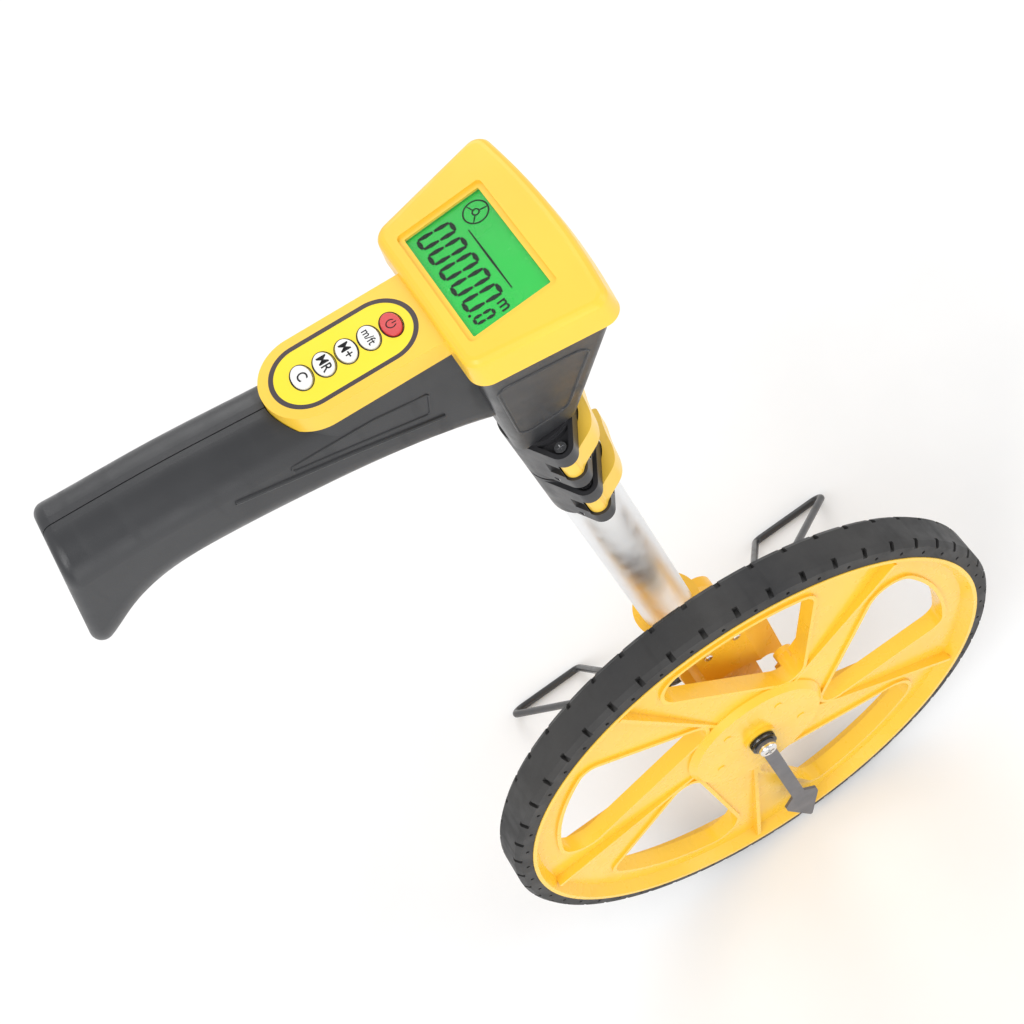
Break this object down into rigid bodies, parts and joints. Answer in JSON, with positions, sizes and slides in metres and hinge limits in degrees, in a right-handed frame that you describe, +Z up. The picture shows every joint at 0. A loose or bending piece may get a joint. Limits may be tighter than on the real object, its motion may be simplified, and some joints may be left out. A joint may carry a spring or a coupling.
{
  "type": "measuring wheel",
  "caption": "Folding measuring wheel: notched tyre on a spoked plastic rim beside a telescopic pole, start pointer, wire stand, pistol-grip handle with display and keypad.",
  "frame": {"origin": "on the ground under the axle, in the wheel's middle plane", "axes": "+X in the walking direction, +Y to the user's left, from the wheel to the pole, +Z up along the pole"},
  "size_m": [0.3518, 0.1912, 0.6237],
  "materials": {
    "tyre_rubber": "matt moulded rubber",
    "wheel_yellow": "glossy moulded plastic",
    "bearing_steel": "ground steel",
    "magnet_grey": "plated magnet",
    "axle_steel": "turned, zinc plated",
    "bush_white": "natural acetal",
    "washer_black": "black oxide",
    "screw_steel": "bright plated",
    "pointer_grey": "grey powder coat",
    "tube_aluminium": "satin anodised",
    "clamp_black": "fine satin moulding",
    "lever_yellow": "glossy moulded plastic",
    "bracket_yellow": "glossy moulded plastic",
    "board_green": "solder mask",
    "switch_glass": "clear glass",
    "stand_black": "black powder coat",
    "cover_yellow": "satin moulded plastic",
    "window_clear": "clear, glossy",
    "lcd_green": "lit green display glass",
    "diffuser_white": "milky",
    "chip_black": "moulded package",
    "trim_black": "glossy print",
    "label_yellow": "satin polyester film",
    "mat_grey": "silicone rubber",
    "housing_black": "satin, fine sparked texture",
    "battery_silver": "printed sleeve",
    "contact_brass": "nickel-flashed spring brass",
    "key_red": "glossy moulded plastic",
    "key_white": "glossy moulded plastic"
  },
  "bodies": {
    "frame": {"axle": "axle_steel", "axle_bush": "bush_white", "nut_washer": "axle_steel", "axle_nut": "axle_steel", "hub_washer": "washer_black", "lock_ring": "screw_steel", "flange_washer": "washer_black", "axle_screw": "screw_steel", "lower_tube": "tube_aluminium", "fork_bracket": "bracket_yellow", "pole_screw": "screw_steel", "sensor_cover": "bracket_yellow", "cover_screws": "screw_steel", "sensor_board": "board_green", "reed_switches": "switch_glass", "lower_clamp": "clamp_black", "lower_clamp_pin": "screw_steel", "lower_clamp_bolt": "screw_steel"},
    "wheel": {"tyre": "tyre_rubber", "wheel_rim": "wheel_yellow", "outboard_bearing": "bearing_steel", "inboard_bearing": "bearing_steel", "bearing_spacer": "bearing_steel", "sensor_magnets": "magnet_grey"},
    "pointer": {"start_pointer": "pointer_grey"},
    "stand": {"kickstand_wire": "stand_black"},
    "lower_lock_lever": {"lower_lever": "lever_yellow"},
    "middle_section": {"middle_tube": "tube_aluminium", "middle_bush": "bush_white", "upper_clamp": "clamp_black", "upper_clamp_pin": "screw_steel", "upper_clamp_bolt": "screw_steel"},
    "upper_lock_lever": {"upper_lever": "lever_yellow"},
    "head": {"upper_tube": "tube_aluminium", "upper_bush": "bush_white", "right_housing": "housing_black", "left_housing": "housing_black", "display_cover": "cover_yellow", "lcd_window": "window_clear", "lcd_panel": "lcd_green", "backlight_plate": "diffuser_white", "main_board": "board_green", "board_parts": "chip_black", "keypad_ring": "trim_black", "keypad_label": "label_yellow", "dome_mat": "mat_grey", "keypad_board": "board_green", "batteries": "battery_silver", "battery_contacts": "contact_brass"},
    "battery_lid": {"battery_door": "housing_black"},
    "power_key": {"key_power": "key_red"},
    "unit_key": {"key_unit": "key_white"},
    "store_key": {"key_store": "key_white"},
    "recall_key": {"key_recall": "key_white"},
    "clear_key": {"key_clear": "key_white"}
  },
  "joints": [
    {"name": "wheel_spin", "type": "hinge", "parent": "frame", "child": "wheel", "pos_m": [0, 0, 0.159], "axis": [0, 1, 0], "continuous": true},
    {"name": "pointer_swing", "type": "hinge", "parent": "frame", "child": "pointer", "pos_m": [0, -0.0169, 0.159], "axis": [0, 1, 0], "continuous": true},
    {"name": "stand_fold", "type": "hinge", "parent": "frame", "child": "stand", "pos_m": [0, 0.052, 0.149], "axis": [1, 0, 0], "range_deg": [0, 138]},
    {"name": "lower_lever_open", "type": "hinge", "parent": "frame", "child": "lower_lock_lever", "pos_m": [0, 0.0162, 0.4465], "axis": [0, 0, -1], "range_deg": [0, 100]},
    {"name": "middle_slide", "type": "slide", "parent": "frame", "child": "middle_section", "axis": [0, 0, 1], "range_m": [0, 0.2]},
    {"name": "upper_lever_open", "type": "hinge", "parent": "middle_section", "child": "upper_lock_lever", "pos_m": [0, 0.0162, 0.483], "axis": [0, 0, -1], "range_deg": [0, 100]},
    {"name": "upper_slide", "type": "slide", "parent": "middle_section", "child": "head", "axis": [0, 0, 1], "range_m": [0, 0.2]},
    {"name": "battery_door_pull", "type": "slide", "parent": "head", "child": "battery_lid", "axis": [-0.1219, 0, -0.9925], "range_m": [0, 0.04]},
    {"name": "power_press", "type": "slide", "parent": "head", "child": "power_key", "axis": [-0.1392, 0, -0.9903], "range_m": [0, 0.0008], "stiffness_N_per_m": 900, "springref_m": -0.0006},
    {"name": "unit_press", "type": "slide", "parent": "head", "child": "unit_key", "axis": [-0.1392, 0, -0.9903], "range_m": [0, 0.0008], "stiffness_N_per_m": 900, "springref_m": -0.0006},
    {"name": "store_press", "type": "slide", "parent": "head", "child": "store_key", "axis": [-0.1392, 0, -0.9903], "range_m": [0, 0.0008], "stiffness_N_per_m": 900, "springref_m": -0.0006},
    {"name": "recall_press", "type": "slide", "parent": "head", "child": "recall_key", "axis": [-0.1392, 0, -0.9903], "range_m": [0, 0.0008], "stiffness_N_per_m": 900, "springref_m": -0.0006},
    {"name": "clear_press", "type": "slide", "parent": "head", "child": "clear_key", "axis": [-0.1392, 0, -0.9903], "range_m": [0, 0.0008], "stiffness_N_per_m": 900, "springref_m": -0.0006}
  ]
}
